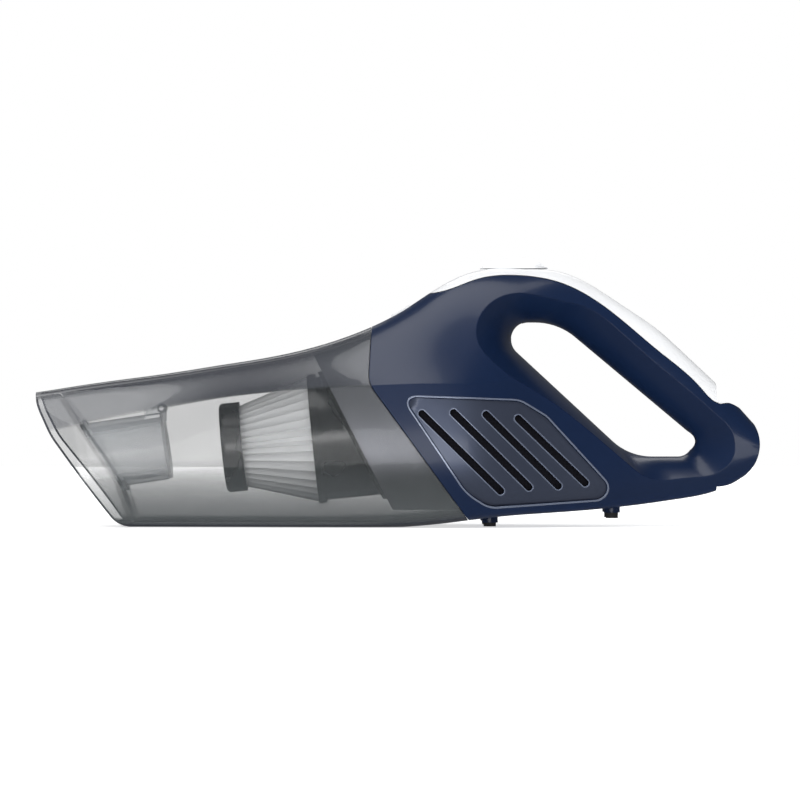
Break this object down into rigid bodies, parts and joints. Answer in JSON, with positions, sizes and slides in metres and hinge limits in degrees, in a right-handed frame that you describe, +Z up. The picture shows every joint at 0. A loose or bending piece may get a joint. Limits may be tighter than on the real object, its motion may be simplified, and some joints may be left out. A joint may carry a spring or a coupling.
{
  "type": "handheld vacuum cleaner",
  "caption": "Cordless handheld vacuum with a slanted nozzle, clear dust bowl holding a pleated filter, slotted motor housing and a loop handle with a thumb switch and release button.",
  "frame": {"origin": "under the middle of the machine's length and width, on the surface it stands on", "axes": "+X from the nose to the tail of the handle, +Z up, +Y towards the machine's right side"},
  "size_m": [0.3848, 0.1082, 0.1426],
  "materials": {
    "navy_gloss": "gloss",
    "white_gloss": "gloss",
    "clear_smoke": "gloss",
    "grey_satin": "satin",
    "black_plastic": "satin",
    "black_rubber": "matte",
    "filter_paper": "matte",
    "dark_mesh": "matte",
    "steel": "satin",
    "spring_steel": "polished",
    "motor_steel": "satin",
    "board_green": "satin",
    "cell_wrap": "gloss",
    "lens_clear": "gloss",
    "copper_core": "satin"
  },
  "bodies": {
    "housing": {"housing_left": "navy_gloss", "housing_right": "navy_gloss", "handle_cover": "white_gloss", "indicator_lens_1": "lens_clear", "indicator_lens_2": "lens_clear", "vent_mesh_left": "dark_mesh", "vent_mesh_right": "dark_mesh", "front_bulkhead": "black_plastic", "body_seal": "black_rubber", "fan_housing": "black_plastic", "motor_can": "motor_steel", "motor_end_bell": "black_plastic", "motor_cradle": "black_plastic", "battery_holder": "black_plastic", "battery_cell_1": "cell_wrap", "battery_cell_2": "cell_wrap", "switch_module": "black_plastic", "circuit_board": "board_green", "charge_jack": "black_plastic", "latch_pin": "steel", "release_spring": "spring_steel", "housing_screw_1": "steel", "housing_screw_2": "steel", "housing_screw_3": "steel", "housing_screw_4": "steel", "housing_screw_5": "steel", "foot_front_left": "black_rubber", "foot_front_right": "black_rubber", "foot_rear_left": "black_rubber", "foot_rear_right": "black_rubber"},
    "rotor": {"impeller": "grey_satin", "motor_shaft": "steel", "armature": "copper_core"},
    "latch": {"latch_lever": "black_plastic"},
    "button": {"release_button": "white_gloss"},
    "switch": {"power_slider": "white_gloss"},
    "bowl": {"dust_bowl": "clear_smoke", "intake_duct": "clear_smoke", "flap_pin": "steel"},
    "flap": {"inlet_flap": "black_rubber"},
    "filter": {"filter_cap": "black_plastic", "filter_pleats": "filter_paper", "filter_core": "grey_satin", "filter_frame": "grey_satin", "filter_base": "black_plastic", "filter_seal": "black_rubber"}
  },
  "joints": [
    {"name": "bowl_slide", "type": "slide", "parent": "housing", "child": "bowl", "axis": [-1, 0, 0], "range_m": [0, 0.22]},
    {"name": "filter_pull", "type": "slide", "parent": "housing", "child": "filter", "axis": [-1, 0, 0], "range_m": [0, 0.08]},
    {"name": "release_press", "type": "slide", "parent": "housing", "child": "button", "axis": [0, 0, -1], "range_m": [0, 0.0025], "stiffness_N_per_m": 400, "springref_m": -0.002, "deforming": ["release_spring"]},
    {"name": "latch_pivot", "type": "hinge", "parent": "housing", "child": "latch", "pos_m": [-0.005, 0, 0.099], "axis": [0, 1, 0], "range_deg": [0, 20]},
    {"name": "power_slide", "type": "slide", "parent": "housing", "child": "switch", "axis": [-1, 0, 0], "range_m": [0, 0.005]},
    {"name": "flap_hinge", "type": "hinge", "parent": "bowl", "child": "flap", "pos_m": [-0.1262, 0, 0.06267], "axis": [0, -1, 0], "range_deg": [0, 45]},
    {"name": "rotor_spin", "type": "hinge", "parent": "housing", "child": "rotor", "pos_m": [0.05, 0, 0.047], "axis": [1, 0, 0], "continuous": true}
  ],
  "couplings": [
    {"joint": "filter_pull", "follows": "bowl_slide", "ratio": 0.35},
    {"joint": "latch_pivot", "follows": "release_press", "rad_per_m": 110}
  ]
}
